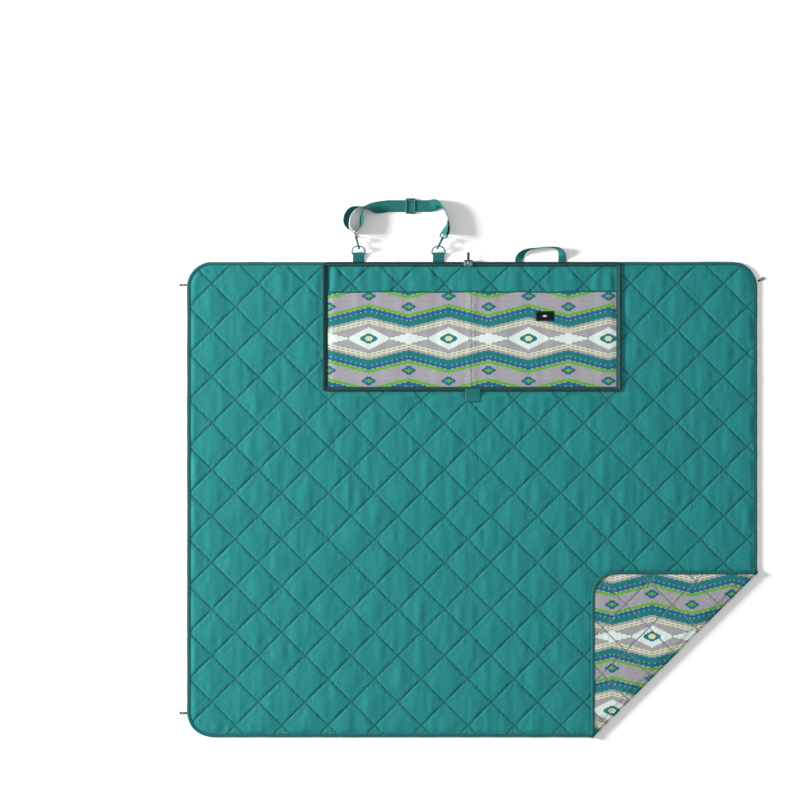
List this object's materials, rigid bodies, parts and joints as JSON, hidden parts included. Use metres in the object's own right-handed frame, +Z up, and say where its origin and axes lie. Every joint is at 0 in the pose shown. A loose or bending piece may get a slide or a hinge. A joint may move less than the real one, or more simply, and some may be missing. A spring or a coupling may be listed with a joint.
{
  "type": "camp blanket",
  "caption": "Quilted camp blanket with a zip-round carry bag on its cloth face, clip-on shoulder strap, grab handle and cord stake loops, and a corner turned over.",
  "frame": {"origin": "middle of the blanket, on the ground under its left half's printed shell", "axes": "+X along the blanket's long side, +Y towards the edge that carries the bag, strap and handle, +Z up from the ground"},
  "size_m": [1.8781, 1.728, 0.048],
  "materials": {
    "teal_cloth": "quilted plain-weave polyester, soft sheen",
    "print_cloth": "printed plain-weave polyester, stepped diamond bands in teal, green, grey and white",
    "wadding": "loose polyester wadding",
    "binding": "folded woven binding with a sewn line",
    "webbing": "ribbed woven webbing",
    "zip_tape": "herringbone zip tape",
    "zip_coil": "nylon coil",
    "cord": "flat braided cord",
    "label": "woven label, plain",
    "teal_plastic": "moulded, satin",
    "pull": "moulded pull, matt",
    "metal": "die-cast, lacquered"
  },
  "bodies": {
    "left_half": {"left_face_shell": "teal_cloth", "left_batting": "wadding", "left_print_shell": "print_cloth", "left_edge_binding": "binding", "left_zip_coil": "zip_coil", "left_zip_tape": "zip_tape", "left_pocket_panel": "print_cloth", "left_pocket_hem": "binding", "left_zip_end_tab": "webbing", "left_strap_tab": "webbing", "right_strap_tab": "webbing"},
    "right_half": {"right_face_shell": "teal_cloth", "right_batting": "wadding", "right_print_shell": "print_cloth", "right_edge_binding": "binding", "right_bottom_binding": "binding", "right_zip_coil": "zip_coil", "right_zip_tape": "zip_tape", "right_pocket_panel": "print_cloth", "right_pocket_hem": "binding", "right_zip_end_tab": "webbing", "woven_label": "label", "handle_anchor_left": "webbing", "handle_anchor_right": "webbing"},
    "turned_corner": {"flap_face_shell": "teal_cloth", "flap_batting": "wadding", "flap_print_shell": "print_cloth", "flap_edge_binding": "binding", "stake_loop_corner": "cord"},
    "carry_strap": {"strap_webbing": "webbing", "left_swivel_eye": "teal_plastic", "right_swivel_eye": "teal_plastic", "left_swivel_pin": "metal", "right_swivel_pin": "metal"},
    "left_d_ring": {"left_d_ring": "teal_plastic"},
    "right_d_ring": {"right_d_ring": "teal_plastic"},
    "left_hook": {"left_snap_hook": "teal_plastic"},
    "right_hook": {"right_snap_hook": "teal_plastic"},
    "left_gate": {"left_hook_gate": "teal_plastic"},
    "right_gate": {"right_hook_gate": "teal_plastic"},
    "tri_glide": {"tri_glide": "teal_plastic", "strap_tail": "webbing"},
    "zip_slider": {"zip_slider": "metal"},
    "zip_pull": {"zip_pull": "pull"},
    "grab_handle": {"grab_handle": "webbing"},
    "stake_loop_left_top": {"stake_loop_left_top": "cord"},
    "stake_loop_left_bottom": {"stake_loop_left_bottom": "cord"},
    "stake_loop_right_top": {"stake_loop_right_top": "cord"}
  },
  "joints": [
    {"name": "bag_fold", "type": "hinge", "parent": "left_half", "child": "right_half", "pos_m": [0, 0, 0.018], "axis": [0, -1, 0], "range_deg": [0, 180]},
    {"name": "corner_fold", "type": "hinge", "parent": "right_half", "child": "turned_corner", "pos_m": [0.5715, -0.5715, 0.01], "axis": [0.7071, 0.7071, 0], "range_deg": [0, 180]},
    {"name": "strap_lift", "type": "hinge", "parent": "left_half", "child": "carry_strap", "pos_m": [-0.23575, 0.788, 0.0042], "axis": [1, 0, 0], "range_deg": [0, 70]},
    {"name": "left_d_ring_swing", "type": "hinge", "parent": "left_half", "child": "left_d_ring", "pos_m": [-0.364, 0.788, 0.0042], "axis": [1, 0, 0], "range_deg": [0, 70]},
    {"name": "right_d_ring_swing", "type": "hinge", "parent": "left_half", "child": "right_d_ring", "pos_m": [-0.1075, 0.788, 0.0042], "axis": [1, 0, 0], "range_deg": [0, 70]},
    {"name": "left_hook_swivel", "type": "hinge", "parent": "carry_strap", "child": "left_hook", "pos_m": [-0.364, 0.8115, 0.024], "axis": [-0.2588, 0.9659, 0], "range_deg": [-20, 20]},
    {"name": "left_gate_hinge", "type": "hinge", "parent": "left_hook", "child": "left_gate", "pos_m": [-0.36747, 0.82444, 0.0323], "axis": [0.9659, 0.2588, 0], "range_deg": [0, 20], "stiffness_Nm_per_rad": 0.02},
    {"name": "right_hook_swivel", "type": "hinge", "parent": "carry_strap", "child": "right_hook", "pos_m": [-0.1075, 0.8115, 0.024], "axis": [0.4384, 0.8988, 0], "range_deg": [-20, 20]},
    {"name": "right_gate_hinge", "type": "hinge", "parent": "right_hook", "child": "right_gate", "pos_m": [-0.10163, 0.82354, 0.0323], "axis": [0.8988, -0.4384, 0], "range_deg": [0, 20], "stiffness_Nm_per_rad": 0.02},
    {"name": "tri_glide_slide", "type": "slide", "parent": "carry_strap", "child": "tri_glide", "axis": [1, 0, 0], "range_m": [-0.01, 0.03]},
    {"name": "zip_run", "type": "slide", "parent": "left_half", "child": "zip_slider", "axis": [-1, 0, 0], "range_m": [0, 0.43]},
    {"name": "zip_pull_swing", "type": "hinge", "parent": "zip_slider", "child": "zip_pull", "pos_m": [-0.012, 0.758, 0.0165], "axis": [1, 0, 0], "range_deg": [0, 180]},
    {"name": "handle_lift", "type": "hinge", "parent": "right_half", "child": "grab_handle", "pos_m": [0.22, 0.7645, 0.0015], "axis": [1, 0, 0], "range_deg": [0, 50]},
    {"name": "stake_loop_left_top_swing", "type": "hinge", "parent": "left_half", "child": "stake_loop_left_top", "pos_m": [-0.9162, 0.688, 0.0015], "axis": [0, 1, 0], "range_deg": [0, 80]},
    {"name": "stake_loop_left_bottom_swing", "type": "hinge", "parent": "left_half", "child": "stake_loop_left_bottom", "pos_m": [-0.9162, -0.685, 0.0015], "axis": [0, 1, 0], "range_deg": [0, 80]},
    {"name": "stake_loop_right_top_swing", "type": "hinge", "parent": "right_half", "child": "stake_loop_right_top", "pos_m": [0.91855, 0.70061, 0.0015], "axis": [0.4695, -0.8829, 0], "range_deg": [0, 80]}
  ],
  "couplings": [
    {"joint": "left_d_ring_swing", "follows": "strap_lift", "ratio": 1},
    {"joint": "right_d_ring_swing", "follows": "strap_lift", "ratio": 1}
  ]
}
